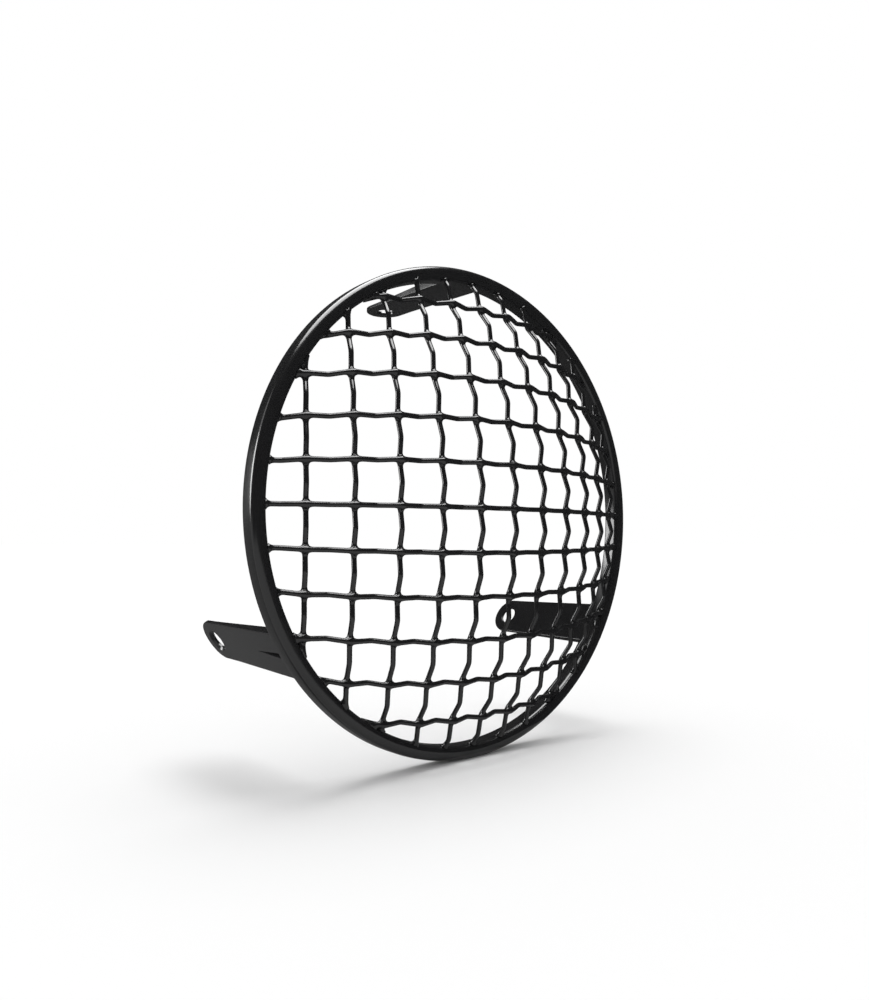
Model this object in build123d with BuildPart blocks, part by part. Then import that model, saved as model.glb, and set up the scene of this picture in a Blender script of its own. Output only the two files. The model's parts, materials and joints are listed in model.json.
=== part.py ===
"""Round headlamp grille: a rolled rim ring, a domed net of crimped wires welded
inside it, and three tapered lugs welded to the back of the ring.

Frame, in millimetres: the origin is the centre of the ring, at half its depth.
+Z is up, the net bulges forward to -Y, and the lugs run back to +Y.
"""

import math
import os

from build123d import *

# Rim ring: a rolled bar, rounded in front by narrow flats and bevelled behind
ring_outer_d = 188.0
ring_width = 5.4
ring_depth = 7.5
ring_outer_front_r = 2.2
ring_inner_front_r = 2.2
ring_outer_facets = 3
ring_inner_facets = 2
ring_back_bevel = 0.7

# Net: wires on great circles of a sphere, equally spaced by angle
dome_radius = 179.0
net_behind_front = 2.0
mesh_pitch = 16.0
least_edge_mesh = 8.0
wire_d = 1.8
wire_facets = 8
weave_clearance = 0.004

# Lugs: tapered strips with a round end and one bolt hole each
lug_root_thickness = 3.6
lug_tip_thickness = 1.7
lug_root_width = 18.4
lug_tip_width = 16.7
lug_hole_d = 7.6
lug_hole_from_ring = 51.0
lug_pad_length = 9.0
dart_width = 2.4
dart_length = 17.0
dart_from_ring = 0.7
top_lug_angle = 90.0
lower_lug_spread = 122.2

# Sizes that follow from the ones above
ring_outer_r = ring_outer_d / 2
ring_inner_r = ring_outer_r - ring_width
ring_mid_r = ring_outer_r - ring_width / 2
ring_front_y = -ring_depth / 2
ring_back_y = ring_depth / 2
dome_centre_y = ring_front_y + net_behind_front + math.sqrt(dome_radius**2 - ring_inner_r**2)
# Wires on each side of the middle one, as many as leave room for a weld at the ring
net_reach = dome_radius * math.asin(ring_inner_r / dome_radius) - least_edge_mesh
wires_each_side = int(net_reach / mesh_pitch)
# An eight-sided wire with the same area, and so the same weight, as the round one
wire_flat_r = wire_d / 2 * math.sqrt(math.pi / (wire_facets * math.tan(math.pi / wire_facets)))
# Half the height of the crimp, at which the flats of two wires just touch where they kink
# over each other; the kinks are steepest where the crossings are closest
closest_pitch = mesh_pitch * math.cos(wires_each_side * mesh_pitch / dome_radius)
crimp = wire_flat_r
for _ in range(8):
    slope = 4 * crimp / closest_pitch
    crimp = wire_flat_r * (math.hypot(1, slope) + slope * math.tan(math.pi / wire_facets)) + weave_clearance
lug_outer_r = ring_mid_r + lug_root_thickness / 2
lug_inner_r = ring_mid_r - lug_root_thickness / 2
lug_hole_y = ring_back_y + lug_hole_from_ring


def front_corner(wall_r, corner_r, facets, inward):
    """Points of one rounded front corner of the ring's section, from the wall to the front."""
    points = []
    for facet in range(facets + 1):
        turn = math.pi / 2 * facet / facets
        x = wall_r + inward * corner_r * (1 - math.cos(turn))
        y = ring_front_y + corner_r * (1 - math.sin(turn))
        points.append((x, y))
    return points


def net_angle(step):
    """Angle of a wire's plane; half steps are the middles of the meshes."""
    return step * mesh_pitch / dome_radius


def reach_angle(line, radius):
    """Angle along a wire at which it is a given distance from the axis of the ring."""
    tilt = net_angle(line)
    rest = (radius / dome_radius) ** 2 - math.sin(tilt) ** 2
    return math.asin(math.sqrt(rest) / math.cos(tilt))


def wire_points(line, sign):
    """Kinks of one wire in its own plane, from one side of the ring to the other.

    The wire kinks at every crossing and halfway between crossings, and its last
    run stops inside the section of the ring.
    """
    tilt = net_angle(line)
    end = reach_angle(line, ring_mid_r)

    def along(step):
        return math.atan(math.tan(net_angle(step)) * math.cos(tilt))

    half_steps = 0
    while along((half_steps + 1) / 2) < end:
        half_steps += 1
    before = along(half_steps / 2)
    after = along((half_steps + 1) / 2)
    share = (end - before) / (after - before)
    end_rise = sign * crimp * (-1) ** half_steps * (1 - 2 * share)

    stations = [(end, end_rise)]
    for step in range(half_steps, -half_steps - 1, -1):
        angle = math.copysign(along(abs(step) / 2), step)
        stations.append((angle, sign * crimp * (-1) ** step))
    stations.append((-end, end_rise))
    return [
        ((dome_radius + rise) * math.sin(angle), (dome_radius + rise) * math.cos(angle))
        for angle, rise in stations
    ]


def crimped_wire(plane, line, sign):
    """One wire of the net, swept along its kinks and cut off flat at the wall of the ring.

    A flat end meets the hollow wall at its outermost corners, so the first cut is
    moved in by as much as those corners stand proud of the wall.
    """
    landing = reach_angle(line, ring_inner_r)
    inset = 0
    with BuildPart() as wire:
        with BuildLine(plane) as path:
            Polyline(*wire_points(line, sign))
        with BuildSketch(Plane(origin=path.line @ 0, z_dir=path.line % 0, x_dir=plane.z_dir)):
            RegularPolygon(wire_flat_r, wire_facets, major_radius=False, rotation=180 / wire_facets)
        sweep(transition=Transition.RIGHT)
        for _ in range(2):
            for side in (1, -1):
                local = Vector(side * math.sin(landing), math.cos(landing), 0) * dome_radius
                spot = plane.from_local_coords(local)
                outward = Vector(spot.X, 0, spot.Z).normalized()
                cut = Plane(origin=outward * (ring_inner_r - inset), z_dir=outward)
                split(bisect_by=cut, keep=Keep.BOTTOM)
            corner_r = max(math.hypot(corner.X, corner.Z) for corner in wire.vertices())
            inset += corner_r - ring_inner_r
    return wire.part


def tapered_lug(angle):
    """One lug, seated on the back of the ring with its hole along the ring's radius."""
    turn = math.radians(angle)
    radial = Vector(math.cos(turn), 0, math.sin(turn))
    side_view = Plane(origin=(0, 0, 0), x_dir=radial, z_dir=radial.cross(Vector(0, 1, 0)))
    face_view = Plane(origin=(0, 0, 0), x_dir=Vector(0, 1, 0).cross(radial), z_dir=radial)
    pad_y = lug_hole_y - lug_pad_length
    tip_y = lug_hole_y + lug_tip_width / 2
    taper = (lug_root_thickness - lug_tip_thickness) / 2
    with BuildPart() as lug:
        with BuildSketch(side_view):
            Polygon(
                (lug_outer_r, ring_back_y),
                (lug_outer_r - taper, pad_y),
                (lug_outer_r - taper, tip_y),
                (lug_inner_r + taper, tip_y),
                (lug_inner_r + taper, pad_y),
                (lug_inner_r, ring_back_y),
                align=None,
            )
        extrude(amount=lug_root_width, both=True)
        with BuildSketch(face_view):
            Polygon(
                (-lug_root_width / 2, ring_back_y),
                (lug_root_width / 2, ring_back_y),
                (lug_tip_width / 2, lug_hole_y),
                (-lug_tip_width / 2, lug_hole_y),
                align=None,
            )
            with Locations((0, lug_hole_y)):
                Circle(lug_tip_width / 2)
        extrude(amount=2 * ring_outer_r, mode=Mode.INTERSECT)
        with BuildSketch(face_view):
            with Locations((0, lug_hole_y)):
                Circle(lug_hole_d / 2)
        extrude(amount=2 * ring_outer_r, mode=Mode.SUBTRACT)
        # A pressed dart in the outer face, fading out away from the ring
        along_face = (radial * -taper + Vector(0, pad_y - ring_back_y, 0)).normalized()
        dart_start = radial * lug_outer_r + Vector(0, ring_back_y, 0) + along_face * dart_from_ring
        dart_end = dart_start + along_face * dart_length
        with BuildSketch(Plane(origin=dart_start, x_dir=face_view.x_dir, z_dir=along_face)) as mouth:
            RegularPolygon(dart_width / 2, 4)
        loft([mouth.face(), Vertex(dart_end)], mode=Mode.SUBTRACT)
    return lug.part


os.makedirs("parts", exist_ok=True)

# Rim ring, one revolved section
with BuildPart() as rim_ring:
    with BuildSketch(Plane.XY) as section:
        Polygon(
            *front_corner(ring_outer_r, ring_outer_front_r, ring_outer_facets, -1),
            *reversed(front_corner(ring_inner_r, ring_inner_front_r, ring_inner_facets, 1)),
            (ring_inner_r, ring_back_y),
            (ring_outer_r, ring_back_y),
            align=None,
        )
        chamfer(section.vertices().group_by(Axis.Y)[-1], ring_back_bevel)
    revolve(axis=Axis.Y)
rim_ring.part.label = "rim_ring"
export_step(rim_ring.part, "parts/rim_ring.step")

# Three lugs, one at the top and two below
lug_angles = {
    "top_lug": top_lug_angle,
    "left_lug": top_lug_angle + lower_lug_spread,
    "right_lug": top_lug_angle - lower_lug_spread,
}
for name, angle in lug_angles.items():
    lug_part = tapered_lug(angle)
    lug_part.label = name
    export_step(lug_part, f"parts/{name}.step")

# Net: cross wires from the top down, in front at every crossing, then upright
# wires from the viewer's left, behind at every crossing
lines = range(wires_each_side, -wires_each_side - 1, -1)
for number, line in enumerate(lines, start=1):
    tilt = net_angle(line)
    cross_plane = Plane(
        origin=(0, dome_centre_y, 0),
        x_dir=(1, 0, 0),
        z_dir=(0, -math.sin(tilt), -math.cos(tilt)),
    )
    upright_plane = Plane(
        origin=(0, dome_centre_y, 0),
        x_dir=(0, 0, 1),
        z_dir=(math.cos(tilt), -math.sin(tilt), 0),
    )
    for kind, plane, sign in (("cross", cross_plane, 1), ("upright", upright_plane, -1)):
        wire_part = crimped_wire(plane, line, sign)
        wire_part.label = f"{kind}_wire_{number:02d}"
        export_step(wire_part, f"parts/{wire_part.label}.step")
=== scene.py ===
# %% [markdown]
# # A round headlamp grille in black powder coat
# The real thing is a weldment: a rolled rim ring, a dome of crimped wires welded inside
# it, and three lugs welded to its back. After welding, the whole of it is powder coated.
# The CAD solids give the places and the main sizes. This script makes the coated skin that
# the eye sees: round wires, soft edges, and the fillets that weld and coat leave in corners.

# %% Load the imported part
import json
import math

import bpy
import numpy as np
from mathutils import Matrix, Vector


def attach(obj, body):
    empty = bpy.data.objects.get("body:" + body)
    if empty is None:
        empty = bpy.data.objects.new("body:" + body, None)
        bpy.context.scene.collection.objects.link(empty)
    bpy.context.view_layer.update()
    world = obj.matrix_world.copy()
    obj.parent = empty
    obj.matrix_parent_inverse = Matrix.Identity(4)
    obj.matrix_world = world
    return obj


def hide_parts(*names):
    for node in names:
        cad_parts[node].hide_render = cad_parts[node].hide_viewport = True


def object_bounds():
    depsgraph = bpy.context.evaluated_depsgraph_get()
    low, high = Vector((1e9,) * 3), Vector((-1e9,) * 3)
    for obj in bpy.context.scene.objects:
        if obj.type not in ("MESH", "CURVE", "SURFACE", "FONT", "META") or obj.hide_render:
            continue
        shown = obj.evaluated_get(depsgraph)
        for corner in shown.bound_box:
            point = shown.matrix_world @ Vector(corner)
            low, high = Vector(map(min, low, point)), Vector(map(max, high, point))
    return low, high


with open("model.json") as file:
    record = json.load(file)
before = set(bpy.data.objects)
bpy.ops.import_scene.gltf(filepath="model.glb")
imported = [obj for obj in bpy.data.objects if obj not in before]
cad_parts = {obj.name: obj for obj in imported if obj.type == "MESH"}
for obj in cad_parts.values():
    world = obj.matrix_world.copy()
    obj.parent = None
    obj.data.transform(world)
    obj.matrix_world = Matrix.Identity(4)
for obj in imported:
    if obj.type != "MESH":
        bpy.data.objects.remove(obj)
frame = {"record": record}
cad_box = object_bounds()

MM = 0.001
mounts = {mount["name"]: mount for mount in frame["record"]["mounts"]}
print("CAD box in mm:", [[round(value / MM, 1) for value in corner] for corner in cad_box])
print("Mounts:", ", ".join(mounts))


def coated_piece(node, mesh):
    """Shows a mesh in place of one CAD node, coated and riding with the grille."""
    piece = bpy.data.objects.new("coated_" + node, mesh)
    bpy.context.scene.collection.objects.link(piece)
    mesh.materials.append(powder_coat)
    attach(piece, "root")
    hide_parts(node)
    return piece


def looped_mesh(name, rows, ends_meet):
    """A smooth mesh through rows of points in mm, each row a closed loop round the piece."""
    count, around, _ = rows.shape
    here = np.arange(count * around).reshape(count, around)
    if ends_meet:
        here = np.vstack([here, here[:1]])
    beside = np.roll(here, -1, axis=1)
    faces = np.stack([here[:-1], beside[:-1], beside[1:], here[1:]], axis=-1)
    faces = faces.reshape(-1, 4).tolist()
    if not ends_meet:
        faces.append(here[0, ::-1].tolist())
        faces.append(here[-1].tolist())
    mesh = bpy.data.meshes.new(name)
    mesh.from_pydata((rows.reshape(-1, 3) * MM).tolist(), [], faces)
    mesh.shade_smooth()
    return mesh


# %% [markdown]
# ## The coat
# Powder coat is a polyester powder that is sprayed on dry and melted in an oven. It flows
# out to a closed skin of some 80 microns, black right through, satin, and never quite flat:
# a fine orange peel, about a millimetre from crest to crest, breaks up every reflection.
# The resin bends light like most plastics, with an index just under 1.5. Where the powder
# lay thicker, the skin flowed out better, so it is a little glossier and a little blacker.
# One shader serves all pieces, because the weldment goes through the booth as one.

# %% Colours and nodes
def linear(hex_colour):
    """An sRGB hex colour as linear red, green, blue and alpha."""
    channels = [int(hex_colour[i:i + 2], 16) / 255 for i in (1, 3, 5)]
    return [c / 12.92 if c <= 0.04045 else ((c + 0.055) / 1.055) ** 2.4 for c in channels] + [1.0]


def add_node(tree, kind, inputs=None, links=None, **settings):
    """Adds one node, with its settings, its socket values and the outputs linked into it."""
    node = tree.nodes.new(kind)
    for name, value in settings.items():
        setattr(node, name, value)
    for socket, value in (inputs or {}).items():
        node.inputs[socket].default_value = value
    for socket, output in (links or {}).items():
        tree.links.new(output, node.inputs[socket])
    return node


# %% Satin black powder coat
COAT_THICK = "#181819"
COAT_THIN = "#1d1d1e"
COAT_IOR = 1.47
# Roughness where the powder lay thick and where it lay thin
COAT_GLOSS = 0.15
COAT_DULL = 0.21
# Sizes of the orange peel and of the slow change from thick to thin
PEEL_MM = 1.1
PEEL_HEIGHT_MM = 0.0018
FLOW_MM = 14.0

powder_coat = bpy.data.materials.new("satin_black_powder_coat")
powder_coat.use_nodes = True
coat = powder_coat.node_tree
coat.nodes.clear()
place = add_node(coat, "ShaderNodeTexCoord")
peel = add_node(
    coat, "ShaderNodeTexNoise",
    {"Scale": 1 / (PEEL_MM * MM), "Detail": 2.0, "Roughness": 0.45},
    {"Vector": place.outputs["Object"]},
)
flow = add_node(
    coat, "ShaderNodeTexNoise",
    {"Scale": 1 / (FLOW_MM * MM), "Detail": 3.0, "Roughness": 0.55},
    {"Vector": place.outputs["Object"]},
)
blackness = add_node(
    coat, "ShaderNodeMixRGB",
    {"Color1": linear(COAT_THICK), "Color2": linear(COAT_THIN)},
    {"Fac": flow.outputs["Fac"]},
)
satin = add_node(
    coat, "ShaderNodeMapRange",
    {"From Min": 0.3, "From Max": 0.7, "To Min": COAT_GLOSS, "To Max": COAT_DULL},
    {"Value": flow.outputs["Fac"]},
)
orange_peel = add_node(
    coat, "ShaderNodeBump",
    {"Strength": 1.0, "Distance": PEEL_HEIGHT_MM * MM},
    {"Height": peel.outputs["Fac"]},
)
skin = add_node(
    coat, "ShaderNodeBsdfPrincipled",
    {"IOR": COAT_IOR},
    {
        "Base Color": blackness.outputs["Color"],
        "Roughness": satin.outputs["Result"],
        "Normal": orange_peel.outputs["Normal"],
    },
)
add_node(coat, "ShaderNodeOutputMaterial", None, {"Surface": skin.outputs["BSDF"]})
print("Made", powder_coat.name, "with", len(coat.nodes), "nodes")

# %% [markdown]
# ## The rim ring
# The ring is a bar rolled into a hoop, its front edges dressed round. A revolve of one
# section is the plain way to make it. The section is drawn as a box whose four corners are
# arcs, so that the front can be rounder than the back.

# %% Rim ring
RING_OUTER_R = mounts["rim_outside"]["dims"]["r_mm"]
RING_WIDTH = 5.4
RING_DEPTH = 7.5
RING_OUTER_FRONT_R = 2.2
RING_INNER_FRONT_R = 2.4
RING_BACK_R = 0.8
RING_STEPS = 288
CORNER_STEPS = 8

RING_INNER_R = RING_OUTER_R - RING_WIDTH
RING_FRONT_Y = -RING_DEPTH / 2
RING_BACK_Y = RING_DEPTH / 2


def corner_arc(x, y, radius, start):
    """A quarter round of the section, from a start angle in degrees, as (x, y) points."""
    turn = np.radians(np.linspace(start, start + 90, CORNER_STEPS + 1))
    return np.stack([x + radius * np.cos(turn), y + radius * np.sin(turn)], axis=1)


ring_section = np.vstack([
    corner_arc(RING_OUTER_R - RING_BACK_R, RING_BACK_Y - RING_BACK_R, RING_BACK_R, 0),
    corner_arc(RING_INNER_R + RING_BACK_R, RING_BACK_Y - RING_BACK_R, RING_BACK_R, 90),
    corner_arc(
        RING_INNER_R + RING_INNER_FRONT_R, RING_FRONT_Y + RING_INNER_FRONT_R, RING_INNER_FRONT_R, 180
    ),
    corner_arc(
        RING_OUTER_R - RING_OUTER_FRONT_R, RING_FRONT_Y + RING_OUTER_FRONT_R, RING_OUTER_FRONT_R, 270
    ),
])
ring_turn = np.linspace(0, 2 * math.pi, RING_STEPS, endpoint=False)[:, None]
ring_rows = np.stack([
    ring_section[:, 0] * np.cos(ring_turn),
    np.broadcast_to(ring_section[:, 1], (RING_STEPS, len(ring_section))),
    ring_section[:, 0] * np.sin(ring_turn),
], axis=-1)
rim_ring = coated_piece("rim_ring", looped_mesh("rim_ring", ring_rows, True))
print("Rim ring:", len(rim_ring.data.polygons), "faces")

# %% [markdown]
# ## The net
# The wires are crimped before they are laid: each one kinks at every crossing, so that it
# locks on the wires that it meets, and the flat net is then pressed to a shallow dome. So
# each wire lies in a plane through the centre of the dome, and waves in and out once per
# mesh. A rounded zigzag gives the straight runs and soft kinks of bent wire.
#
# A plain tube along that line would just clear its neighbours. On the real net each crossing
# is spot welded and then coated, which leaves a small fillet. Here each point of a tube is
# raised along its own normal until it lies on a blend of the two wires. Both wires are
# treated alike, so their skins meet in one soft corner.

# %% Where the wires run
DOME_RADIUS = 179.0
NET_BEHIND_FRONT = 2.0
MESH_PITCH = 16.0
WIRES_EACH_SIDE = 5
WIRE_R = 0.9
# Half the height of a wave, just over the wire's radius, so that crossing wires clear each other
CRIMP = 0.93
# At 1 the kinks would be sharp corners
KINK_SHARPNESS = 0.975
# How far the end of a wire runs into the ring
END_IN_RING = 1.2

DOME_CENTRE_Y = RING_FRONT_Y + NET_BEHIND_FRONT + math.sqrt(DOME_RADIUS**2 - RING_INNER_R**2)
LIFT = {"cross": 1, "upright": -1}
OTHER = {"cross": "upright", "upright": "cross"}


def net_angle(step):
    """Angle at the centre of the dome of a place counted in meshes from the middle."""
    return step * MESH_PITCH / DOME_RADIUS


def end_step(line, radius):
    """How many meshes from the middle a wire is when it reaches a radius of the ring."""
    tilt = net_angle(line)
    angle = math.asin(math.sqrt((radius / DOME_RADIUS) ** 2 - math.sin(tilt) ** 2) / math.cos(tilt))
    return math.atan(math.tan(angle) / math.cos(tilt)) * DOME_RADIUS / MESH_PITCH


def centre_line(family, line, steps):
    """Points in mm along a wire, at places counted in meshes from its middle."""
    tilt = net_angle(line)
    angle = np.arctan(np.tan(net_angle(steps)) * math.cos(tilt))
    wave = np.arcsin(KINK_SHARPNESS * np.cos(2 * math.pi * steps)) / math.asin(KINK_SHARPNESS)
    reach = DOME_RADIUS + LIFT[family] * CRIMP * wave
    along = reach * np.sin(angle)
    sideways = reach * np.cos(angle) * math.sin(tilt)
    y = DOME_CENTRE_Y - reach * np.cos(angle) * math.cos(tilt)
    if family == "cross":
        return np.stack([along, y, sideways], axis=1)
    return np.stack([sideways, y, along], axis=1)


# %% Blends at the crossings and at the ring
# Reach of a fillet in mm, and the rounds in which a point settles on it
WELD_SIZE = 2.0
WELD_ROUNDS = 14
# Points that lie deeper than this inside the other piece stay where they are
BURIED_MM = 0.1


def wire_gap(points, samples):
    """Distance in mm from points to the skin of a wire given by close points on its line."""
    apart = np.linalg.norm(points[:, None] - samples[None], axis=2)
    return apart.min(axis=1) - WIRE_R


def ring_gap(points):
    """Distance in mm from points to the skin of the ring, taken as a box with rounded edges."""
    rounding = RING_INNER_FRONT_R
    radius = np.hypot(points[:, 0], points[:, 2])
    over = np.stack([
        np.abs(radius - RING_OUTER_R + RING_WIDTH / 2) - RING_WIDTH / 2 + rounding,
        np.abs(points[:, 1]) - RING_DEPTH / 2 + rounding,
    ], axis=1)
    return np.linalg.norm(np.maximum(over, 0), axis=1) + np.minimum(over.max(axis=1), 0) - rounding


def raised(points, normals, gap_to_other):
    """Points of a skin moved out along their normals on to its blend with another piece.

    The blend is the smooth minimum of the distances to the two skins.
    """
    rise = np.zeros(len(points))
    outside = gap_to_other(points) > -BURIED_MM
    for _ in range(WELD_ROUNDS):
        gap = gap_to_other(points + normals * rise[:, None])
        share = np.clip(1 - np.abs(rise - gap) / WELD_SIZE, 0, 1)
        blend = np.minimum(rise, gap) - share**2 * WELD_SIZE / 4
        rise = np.clip(rise - blend, 0, WELD_SIZE / 2) * outside
    return points + normals * rise[:, None]


# %% Wires
WIRE_SIDES = 14
STATIONS_PER_MESH = 32
# In meshes: how much of a wire is blended to each side of a crossing and before the ring, and
# how much of the other wire is looked at there, in so many samples
NEAR_CROSSING = 0.5
NEAR_RING = 0.4
LOOK_ALONG = 0.45
LOOK_SAMPLES = 121


def blend_rows(rows, normals, chosen, gap_to_other):
    """Blends the chosen loops of a skin into another piece, in place."""
    points = raised(rows[chosen].reshape(-1, 3), normals[chosen].reshape(-1, 3), gap_to_other)
    rows[chosen] = points.reshape(rows[chosen].shape)


def wire_rows(family, line):
    """The skin of one wire as loops of points, with its fillets."""
    end = end_step(line, RING_INNER_R + END_IN_RING)
    steps = np.linspace(-end, end, 2 * round(end * STATIONS_PER_MESH) + 1)
    centres = centre_line(family, line, steps)
    tangents = np.gradient(centres, axis=0)
    tangents /= np.linalg.norm(tangents, axis=1)[:, None]
    middle = len(centres) // 2
    side = np.cross(centres[-1] - centres[0], centres[middle] - centres[0])
    side /= np.linalg.norm(side)
    front = np.cross(side, tangents)
    turn = np.linspace(0, 2 * math.pi, WIRE_SIDES, endpoint=False)[None, :, None]
    normals = np.cos(turn) * front[:, None] + np.sin(turn) * side
    rows = centres[:, None] + WIRE_R * normals

    for crossing in range(-WIRES_EACH_SIDE, WIRES_EACH_SIDE + 1):
        near = np.abs(steps - crossing) < NEAR_CROSSING
        if not near.any() or end_step(crossing, RING_INNER_R) < abs(line):
            continue
        stretch = line + np.linspace(-LOOK_ALONG, LOOK_ALONG, LOOK_SAMPLES)
        samples = centre_line(OTHER[family], crossing, stretch)
        blend_rows(rows, normals, near, lambda points: wire_gap(points, samples))
    blend_rows(rows, normals, np.abs(steps) > end - NEAR_RING, ring_gap)
    return rows


lines = range(-WIRES_EACH_SIDE, WIRES_EACH_SIDE + 1)
wire_nodes = {("cross", line): f"cross_wire_{WIRES_EACH_SIDE + 1 - line:02d}" for line in lines}
wire_nodes.update({("upright", line): f"upright_wire_{WIRES_EACH_SIDE + 1 + line:02d}" for line in lines})
wire_faces = 0
for (family, line), node in wire_nodes.items():
    wire = coated_piece(node, looped_mesh(node, wire_rows(family, line), False))
    wire_faces += len(wire.data.polygons)
print("Net:", len(wire_nodes), "wires,", wire_faces, "faces")

# %% [markdown]
# ## The lugs
# Each lug is cut from strip, tapered in width and thickness, rounded at the end, drilled and
# countersunk. Its skin is one closed surface with a hole through it, like the ring's, so it
# can be made the same way: loops of points, each of which runs from the mouth of the hole
# over the outer face, round the edge, back under the inner face and up through the hole.
# A pointed dart, pressed into the outer face where the lug leaves the ring, stiffens it. It
# is a shape that a loop cannot follow, so a slim pyramid cuts it out.

# %% The skin of a lug
LUG_ROOT_THICKNESS = 3.6
LUG_TIP_THICKNESS = 1.7
LUG_ROOT_WIDTH = 18.4
LUG_TIP_WIDTH = 16.7
LUG_PAD_LENGTH = 9.0
LUG_EDGE_R = 0.4
LUG_IN_RING = 1.0
COUNTERSINK = 0.8
HOLE_BREAK = 0.15
EDGE_STEPS = 5
SIDE_STEPS = 12
TIP_STEPS = 48
# An odd number, so that no edge of the face runs along the dart
ROOT_STEPS = 9
# Stands in for the run of a strip that does not head for the ring
LEAST_RUN = 0.001
# Angles at the hole's rim, counted from the +x side, between which the loops run to the root
ROOT_FROM_DEG = 240
ROOT_TO_DEG = 300


def half_thickness(y, pad_y):
    """Half the thickness of a lug at a distance y, which shrinks from the ring to the pad."""
    return np.interp(y, [RING_BACK_Y, pad_y], [LUG_ROOT_THICKNESS / 2, LUG_TIP_THICKNESS / 2])


def lug_outline(hole_y):
    """The outline as (x, y) points from the ring round the tip, with an angle at the hole for each."""
    root_y = RING_BACK_Y - LUG_IN_RING
    along = np.linspace(0, 1, SIDE_STEPS + 1)[:-1]
    tip = np.linspace(0, 180, TIP_STEPS + 1)
    side_x = LUG_ROOT_WIDTH / 2 + (LUG_TIP_WIDTH - LUG_ROOT_WIDTH) / 2 * along
    side_y = root_y + (hole_y - root_y) * along
    arc_x = LUG_TIP_WIDTH / 2 * np.cos(np.radians(tip))
    arc_y = hole_y + LUG_TIP_WIDTH / 2 * np.sin(np.radians(tip))
    root_x = np.linspace(-LUG_ROOT_WIDTH / 2, LUG_ROOT_WIDTH / 2, ROOT_STEPS + 1)[1:-1]
    x = np.concatenate([side_x, arc_x, -side_x[::-1], root_x])
    y = np.concatenate([side_y, arc_y, side_y[::-1], np.full(len(root_x), root_y)])
    angle = np.concatenate([
        np.linspace(ROOT_TO_DEG - 360, 0, SIDE_STEPS + 1)[:-1],
        tip,
        np.linspace(180, ROOT_FROM_DEG, SIDE_STEPS + 1)[1:],
        np.linspace(ROOT_FROM_DEG, ROOT_TO_DEG, ROOT_STEPS + 1)[1:-1],
    ])
    return np.stack([x, y], axis=1), np.radians(angle)


def lug_rows(hole_y, hole_r):
    """The skin of a flat lug in mm, as loops: x across, y back from the ring, z outward."""
    pad_y = hole_y - LUG_PAD_LENGTH
    outline, angle = lug_outline(hole_y)
    ahead = np.roll(outline, -1, axis=0) - np.roll(outline, 1, axis=0)
    inward = np.stack([-ahead[:, 1], ahead[:, 0]], axis=1)
    inward /= np.linalg.norm(inward, axis=1)[:, None]
    spoke = np.stack([np.cos(angle), np.sin(angle)], axis=1)
    columns = []

    def add_column(flat, side, depth):
        z = side * (half_thickness(flat[:, 1], pad_y) - depth)
        columns.append(np.column_stack([flat, z]))

    def at_hole(radius):
        return np.array([0, hole_y]) + radius * spoke

    def at_bend(start, end):
        """Where a strip from the hole to the edge crosses the start of the pad, or else its middle."""
        run = np.minimum(end[:, 1] - start[:, 1], -LEAST_RUN)
        share = np.clip((pad_y - start[:, 1]) / run, 0, 1)
        share = np.where(end[:, 1] < pad_y, share, 0.5)
        return start + (end - start) * share[:, None]

    turns = np.radians(np.linspace(0, 90, EDGE_STEPS + 1))
    edge = outline + inward * LUG_EDGE_R
    outer_mouth = at_hole(hole_r + COUNTERSINK)
    inner_mouth = at_hole(hole_r + HOLE_BREAK)
    add_column(outer_mouth, 1, 0)
    add_column(at_bend(outer_mouth, edge), 1, 0)
    for side in (1, -1):
        for turn in turns[::side]:
            flat = outline + inward * LUG_EDGE_R * (1 - math.sin(turn))
            add_column(flat, side, LUG_EDGE_R * (1 - math.cos(turn)))
    add_column(at_bend(inner_mouth, edge), -1, 0)
    add_column(inner_mouth, -1, 0)
    add_column(at_hole(hole_r), -1, HOLE_BREAK)
    add_column(at_hole(hole_r), 1, COUNTERSINK)
    return np.stack(columns, axis=1)


# %% The dart
DART_WIDTH = 2.4
DART_LENGTH = 17.0
DART_DEPTH = 2.8
DART_FROM_RING = 0.7


def with_dart(mesh, pad_y):
    """A lug's mesh with a dart cut into its outer face, blunt at the ring and pointed behind."""
    start_y = RING_BACK_Y + DART_FROM_RING
    end_y = start_y + DART_LENGTH
    start_z, end_z = half_thickness([start_y, end_y], pad_y)
    half = DART_WIDTH / 2
    corners = [
        (half, start_y, start_z),
        (0, start_y, start_z + half),
        (-half, start_y, start_z),
        (0, start_y, start_z - DART_DEPTH),
        (0, end_y, end_z),
    ]
    cutter_mesh = bpy.data.meshes.new("dart")
    cutter_faces = [(0, 1, 2, 3), (1, 0, 4), (2, 1, 4), (3, 2, 4), (0, 3, 4)]
    cutter_mesh.from_pydata((np.array(corners) * MM).tolist(), [], cutter_faces)
    plate = bpy.data.objects.new("plate", mesh)
    cutter = bpy.data.objects.new("dart", cutter_mesh)
    for piece in (plate, cutter):
        bpy.context.scene.collection.objects.link(piece)
    cut = plate.modifiers.new("dart", "BOOLEAN")
    cut.object = cutter
    cut.operation = "DIFFERENCE"
    cut.solver = "EXACT"
    cut_plate = plate.evaluated_get(bpy.context.evaluated_depsgraph_get())
    dented = bpy.data.meshes.new_from_object(cut_plate)
    for piece in (plate, cutter):
        bpy.data.objects.remove(piece)
    bpy.data.meshes.remove(mesh)
    bpy.data.meshes.remove(cutter_mesh)
    return dented


# %% Lugs
SHARP_DEG = 30.0

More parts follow.
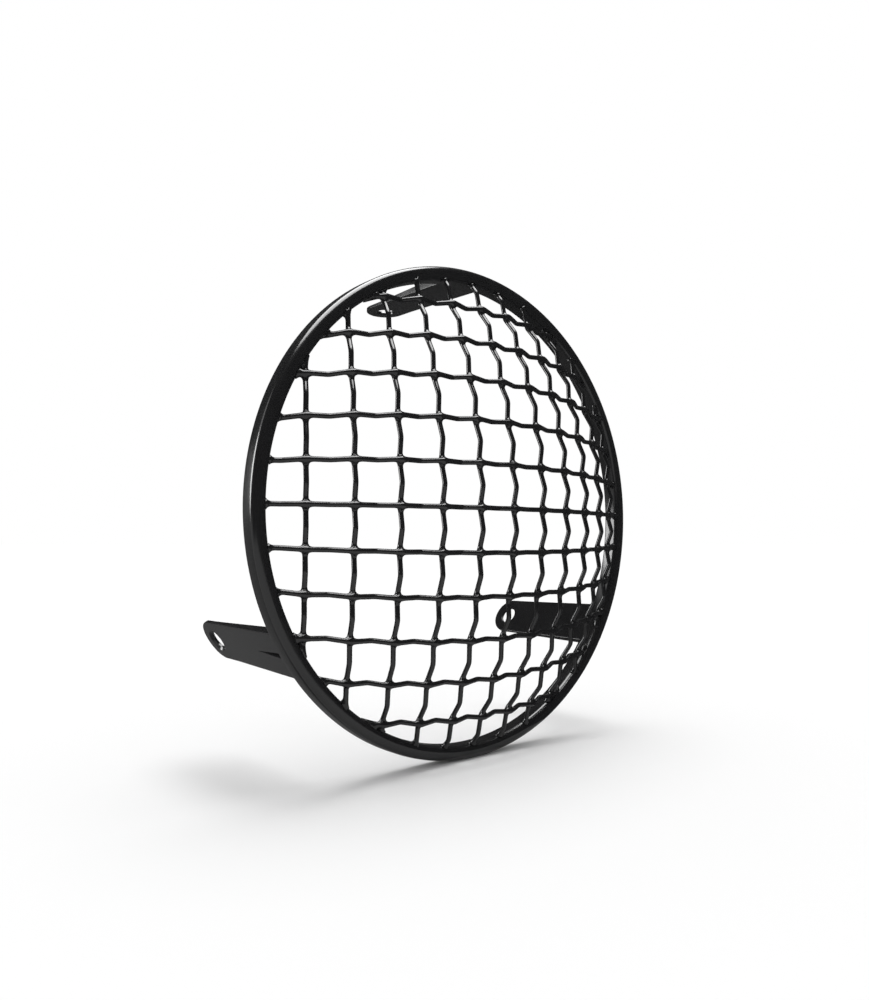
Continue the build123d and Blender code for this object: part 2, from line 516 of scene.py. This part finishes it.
for node in ("top_lug", "left_lug", "right_lug"):
    mount = mounts[node + "_hole"]
    middle = Vector(mount["pos_m"])
    hole_y = middle.y / MM
    outward = Vector(mount["axis"])
    back = Vector((0, 1, 0))
    mesh = looped_mesh(node, lug_rows(hole_y, mount["dims"]["r_mm"]), True)
    mesh = with_dart(mesh, hole_y - LUG_PAD_LENGTH)
    mesh.set_sharp_from_angle(angle=math.radians(SHARP_DEG))
    turned = Matrix((back.cross(outward), back, outward)).transposed().to_4x4()
    mesh.transform(Matrix.Translation(middle - back * middle.y) @ turned)
    lug = coated_piece(node, mesh)
    lug.modifiers.new("flats_stay_flat", "WEIGHTED_NORMAL").keep_sharp = True
    print(node, len(mesh.polygons), "faces")

# %% [markdown]
# ## The studio
# A black part is seen by what it reflects, so this studio is laid out for reflections. The
# floor and the surround are white to the eye, and one broad light overhead casts the soft
# shadow. All the rest shows in reflections alone:
#
# - a grey tent, which keeps the coat black where it would mirror the white surround
# - a large round softbox overhead, for the light along the top of the ring and down the wires
# - a small softbox at the back left, for the bright line down the side of the ring, with a
#   dim glow above it in which that line fades out
# - cards on the floor, pale before the grille and at its back left and darker elsewhere, and
#   one upright card in the back left of the tent, which set how light the low faces look

# %% Floor
FLOOR_WHITE = "#f4f4f4"
FLOOR_HALF_M = 40.0
SQUARE = ((-1, -1), (1, -1), (1, 1), (-1, 1))


def matt_paint(name, hex_colour):
    """A matt material of one colour."""
    material = bpy.data.materials.new(name)
    material.use_nodes = True
    tree = material.node_tree
    tree.nodes.clear()
    matt = add_node(tree, "ShaderNodeBsdfDiffuse", {"Color": linear(hex_colour)})
    add_node(tree, "ShaderNodeOutputMaterial", None, {"Surface": matt.outputs["BSDF"]})
    return material


def studio_sheet(name, corners, faces, material):
    """A piece of the studio with flat faces, its corners given in metres."""
    mesh = bpy.data.meshes.new(name)
    mesh.from_pydata(corners, [], faces)
    mesh.materials.append(material)
    sheet = bpy.data.objects.new(name, mesh)
    bpy.context.scene.collection.objects.link(sheet)
    return sheet


floor_z = cad_box[0][2]
floor_corners = [(x * FLOOR_HALF_M, y * FLOOR_HALF_M, floor_z) for x, y in SQUARE]
floor_paint = matt_paint("matt_white_studio_paint", FLOOR_WHITE)
floor = studio_sheet("studio_floor", floor_corners, [(0, 1, 2, 3)], floor_paint)
print("Floor at", round(floor_z / MM, 1), "mm")

# %% Surround
SURROUND_WHITE = "#ffffff"
SURROUND_LIGHT = 0.57
SURROUND_SEEN = 1.0

world = bpy.data.worlds.new("white_surround")
bpy.context.scene.world = world
world.use_nodes = True
surround = world.node_tree
surround.nodes.clear()
ray = add_node(surround, "ShaderNodeLightPath")
seen = add_node(
    surround, "ShaderNodeMath", None,
    {0: ray.outputs["Is Camera Ray"], 1: ray.outputs["Is Glossy Ray"]}, operation="MAXIMUM",
)
shown = add_node(
    surround, "ShaderNodeMath", None,
    {0: seen.outputs["Value"], 1: ray.outputs["Is Transmission Ray"]}, operation="MAXIMUM",
)
lamp = add_node(
    surround, "ShaderNodeBackground", {"Color": linear(SURROUND_WHITE), "Strength": SURROUND_LIGHT}
)
white = add_node(
    surround, "ShaderNodeBackground", {"Color": linear(SURROUND_WHITE), "Strength": SURROUND_SEEN}
)
either = add_node(
    surround, "ShaderNodeMixShader", None,
    {0: shown.outputs["Value"], 1: lamp.outputs["Background"], 2: white.outputs["Background"]},
)
add_node(surround, "ShaderNodeOutputWorld", None, {"Surface": either.outputs["Shader"]})
print("Surround of", len(surround.nodes), "nodes")

# %% Lights
LAMP_DISTANCE_M = 1.5
SUN_STRENGTH = 1.75
SUN_WIDTH_DEG = 46.0
SUN_FROM = Vector((0.12, 0.04, 1.0))
# For each softbox: the way to it, its width and height in metres, and its radiance
SOFTBOXES = {
    "top_softbox": (Vector((-0.02, 0.0, 1.0)), 1.6, 1.6, 11.0),
    "left_softbox": (Vector((-0.766, 0.643, 0.21)), 0.64, 0.63, 13.0),
    "left_glow": (Vector((-0.755, 0.656, 0.52)), 0.7, 0.5, 1.4),
}


def add_light(name, kind, direction, **settings):
    """A lamp that looks at the middle of the grille from a direction."""
    light = bpy.data.lights.new(name, kind)
    for setting, value in settings.items():
        setattr(light, setting, value)
    lamp_object = bpy.data.objects.new(name, light)
    lamp_object.location = direction.normalized() * LAMP_DISTANCE_M
    lamp_object.rotation_euler = direction.to_track_quat("Z", "Y").to_euler()
    bpy.context.scene.collection.objects.link(lamp_object)
    return lamp_object


def add_softbox(name, direction, width, height, radiance):
    """An oval softbox that only shows in reflections, and adds no light of its own to the floor."""
    area = math.pi / 4 * width * height
    softbox = add_light(
        name, "AREA", direction, shape="ELLIPSE", size=width, size_y=height,
        energy=radiance * math.pi * area,
    )
    softbox.visible_diffuse = False
    softbox.visible_camera = False


add_light("overhead_light", "SUN", SUN_FROM, energy=SUN_STRENGTH, angle=math.radians(SUN_WIDTH_DEG))
for name, (direction, width, height, radiance) in SOFTBOXES.items():
    add_softbox(name, direction, width, height, radiance)
print("Lights: overhead_light,", ", ".join(SOFTBOXES))

# %% Tent and cards
TENT_GREY = "#484848"
TENT_HALF_M = 3.0
CARD_WHITE = "#dadada"
CARD_PALE = "#cccccc"
CARD_GREY = "#7c7c7c"
CARD_DARK = "#444444"
# Edges of the floor cards in metres, seen from the front of the grille
CARD_RIGHT_M = 0.05
CARD_LEFT_M = -0.55
CARD_FRONT_M = -0.5
CARD_BACK_M = 0.004
CARD_LEFT_BACK_M = 0.0
# Where the pale and the grey card part, on a line that runs to the corner of the tent
CARD_PARTING_M = -0.1
CARD_LIFT_M = 0.002
# The upright card
UPRIGHT_GREY = "#b0b0b0"
UPRIGHT_LEFT_M = -2.0
UPRIGHT_RIGHT_M = -1.1
UPRIGHT_BACK_M = 2.8
UPRIGHT_TOP_M = 0.9


def add_flag(name, corners, faces, hex_colour):
    """A matt card that only shows in reflections, where it hides the white floor or surround."""
    flag = studio_sheet(name, corners, faces, matt_paint(name + "_cloth", hex_colour))
    for ray_kind in ("camera", "diffuse", "transmission", "shadow"):
        setattr(flag, "visible_" + ray_kind, False)


def rectangle(left, right, near, far):
    """Corners of a rectangle in a plane, counted round from the near left one."""
    return [(left, near), (right, near), (right, far), (left, far)]


tent_corners = [
    (x * TENT_HALF_M, y * TENT_HALF_M, z) for z in (floor_z, TENT_HALF_M) for x, y in SQUARE
]
tent_faces = [(0, 1, 5, 4), (1, 2, 6, 5), (2, 3, 7, 6), (3, 0, 4, 7), (4, 5, 6, 7)]
add_flag("grey_tent", tent_corners, tent_faces, TENT_GREY)
wall = TENT_HALF_M
parting = (CARD_PARTING_M, CARD_BACK_M)
FLOOR_CARDS = {
    "dark_right_card": (CARD_DARK, rectangle(CARD_RIGHT_M, wall, -wall, wall)),
    "dark_front_card": (CARD_DARK, rectangle(-wall, CARD_RIGHT_M, -wall, CARD_FRONT_M)),
    "dark_left_card": (CARD_DARK, rectangle(-wall, CARD_LEFT_M, CARD_FRONT_M, CARD_LEFT_BACK_M)),
    "pale_front_card": (CARD_WHITE, rectangle(CARD_LEFT_M, CARD_RIGHT_M, CARD_FRONT_M, CARD_BACK_M)),
    "pale_left_card": (CARD_PALE, [parting, (-wall, wall), (-wall, CARD_BACK_M)]),
    "grey_back_card": (
        CARD_GREY, [(CARD_RIGHT_M, CARD_BACK_M), (CARD_RIGHT_M, wall), (-wall, wall), parting]
    ),
}
for name, (grey, outline) in FLOOR_CARDS.items():
    corners = [(x, y, floor_z + CARD_LIFT_M) for x, y in outline]
    add_flag(name, corners, [range(len(outline))], grey)
upright = rectangle(UPRIGHT_LEFT_M, UPRIGHT_RIGHT_M, floor_z, UPRIGHT_TOP_M)
white_card = [(x, UPRIGHT_BACK_M, z) for x, z in upright]
add_flag("white_card", white_card, [(0, 1, 2, 3)], UPRIGHT_GREY)
print("A tent and", len(FLOOR_CARDS) + 1, "cards")

# %% [markdown]
# ## The camera
# The picture was taken close to the grille, from the front left and a little below its
# middle, so the near side of the ring looks much taller than the far side.

# %% Camera
PICTURE_HEIGHT = 1000
FOCAL_PIXELS = 805.84
SENSOR_MM = 36.0
CAMERA_AZIMUTH = -39.94
CAMERA_ELEVATION = -3.10
CAMERA_TARGET_MM = Vector((-38.42, -25.25, 1.9))
CAMERA_DISTANCE_MM = 269.5

azimuth = math.radians(CAMERA_AZIMUTH)
elevation = math.radians(CAMERA_ELEVATION)
towards_camera = Vector((
    math.sin(azimuth) * math.cos(elevation),
    -math.cos(azimuth) * math.cos(elevation),
    math.sin(elevation),
))
camera_data = bpy.data.cameras.new("photo_camera")
camera_data.sensor_fit = "VERTICAL"
camera_data.sensor_height = SENSOR_MM
camera_data.lens = FOCAL_PIXELS / PICTURE_HEIGHT * SENSOR_MM
camera_data.clip_start = 0.01
camera_data.clip_end = 200.0
camera = bpy.data.objects.new("photo_camera", camera_data)
camera.location = (CAMERA_TARGET_MM + towards_camera * CAMERA_DISTANCE_MM) * MM
camera.rotation_euler = towards_camera.to_track_quat("Z", "Y").to_euler()
bpy.context.scene.collection.objects.link(camera)
bpy.context.scene.camera = camera
bpy.context.scene.view_settings.view_transform = "Standard"
print("Camera at", [round(value / MM, 1) for value in camera.location], "mm")
